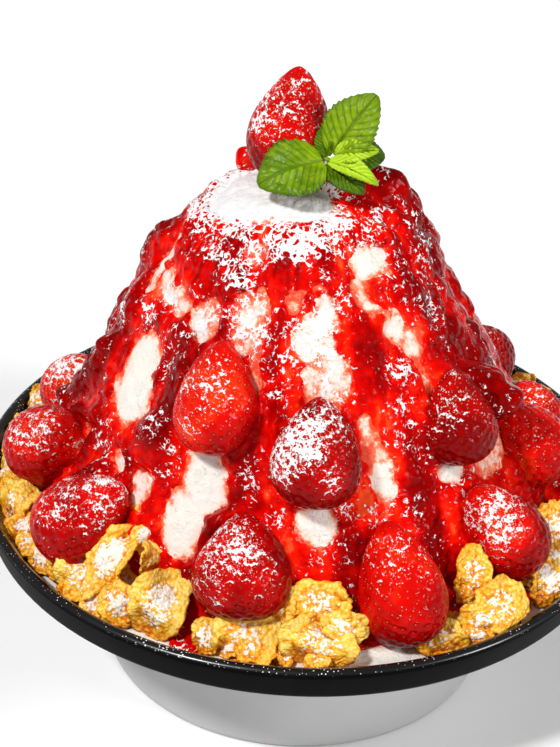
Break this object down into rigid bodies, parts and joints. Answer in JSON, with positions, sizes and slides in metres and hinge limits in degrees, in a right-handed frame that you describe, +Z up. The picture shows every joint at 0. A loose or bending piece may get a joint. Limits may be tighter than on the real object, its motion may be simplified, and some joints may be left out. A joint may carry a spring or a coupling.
{
  "type": "bingsu",
  "caption": "Tall mound of shaved milk ice in a wide two-tone bowl, with strawberry sauce, whole strawberries, cornflakes and a mint sprig.",
  "frame": {"origin": "centre of the bowl's foot, on the surface that it stands on", "axes": "+Z up along the bowl's axis, -Y towards the side that is seen as the front, +X to its right"},
  "size_m": [0.22, 0.22, 0.2143],
  "materials": {
    "bowl_glaze": "gloss black inside, on the rim and under it, satin pale grey on the foot",
    "milk_ice": "soft, damp shaved milk ice",
    "sauce": "wet, glossy strawberry sauce",
    "strawberry": "satin skin with seeds, dusted with icing sugar",
    "cornflake": "dry, blistered golden flakes, dusted with icing sugar",
    "mint": "soft, quilted fresh leaf"
  },
  "bodies": {
    "root": {"bowl": "bowl_glaze", "milk_ice": "milk_ice", "strawberry_sauce": "sauce", "strawberry_mid_left": "strawberry", "strawberry_centre": "strawberry", "strawberry_mid_right": "strawberry", "strawberry_low_left": "strawberry", "strawberry_left": "strawberry", "strawberry_low_centre": "strawberry", "strawberry_low_right": "strawberry", "strawberry_right": "strawberry", "strawberry_far_right": "strawberry", "strawberry_rear_right_small": "strawberry", "strawberry_rear_right": "strawberry", "strawberry_rear_left_small": "strawberry", "strawberry_back_a": "strawberry", "strawberry_back_b": "strawberry", "strawberry_back_c": "strawberry", "strawberry_back_d": "strawberry", "strawberry_back_e": "strawberry", "strawberry_back_f": "strawberry", "strawberry_top": "strawberry", "cornflakes_left": "cornflake", "cornflakes_front_left": "cornflake", "cornflakes_front": "cornflake", "cornflakes_front_right": "cornflake", "cornflakes_right": "cornflake", "cornflakes_back_right": "cornflake", "cornflakes_back": "cornflake", "cornflakes_back_left": "cornflake", "mint_sprig": "mint"}
  },
  "joints": []
}
